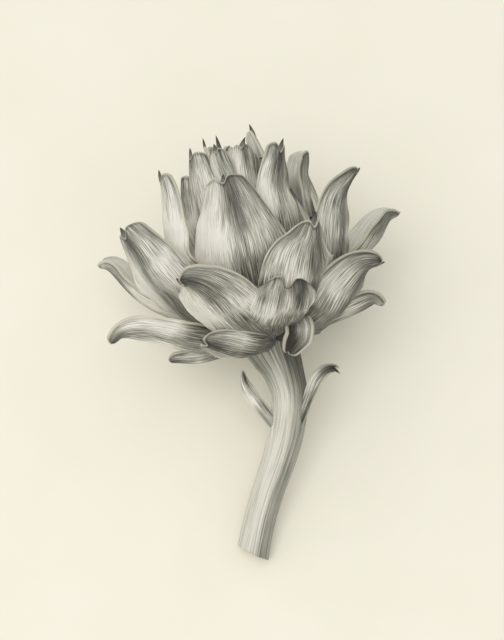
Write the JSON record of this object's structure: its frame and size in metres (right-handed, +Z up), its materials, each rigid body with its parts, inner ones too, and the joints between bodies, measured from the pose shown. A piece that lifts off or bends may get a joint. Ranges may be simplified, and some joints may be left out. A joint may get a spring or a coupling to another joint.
{
  "type": "globe artichoke",
  "caption": "Globe artichoke: an open head of thick notched bracts with small spines, on a curved ribbed stalk with small leaves, cut and laid on its back.",
  "frame": {"origin": "on the surface that the artichoke lies on, below the middle of its box", "axes": "+Z up; +Y along the plant, from the cut end of the stalk to the top of the head; +X to the right of the head seen from above"},
  "size_m": [0.1476, 0.1994, 0.1188],
  "materials": {
    "bracts": "fleshy, matte to softly waxy, fine fibres along it",
    "stalk": "downy, matte, ribbed along it"
  },
  "bodies": {
    "root": {"head": "bracts", "stem": "stalk"}
  },
  "joints": []
}
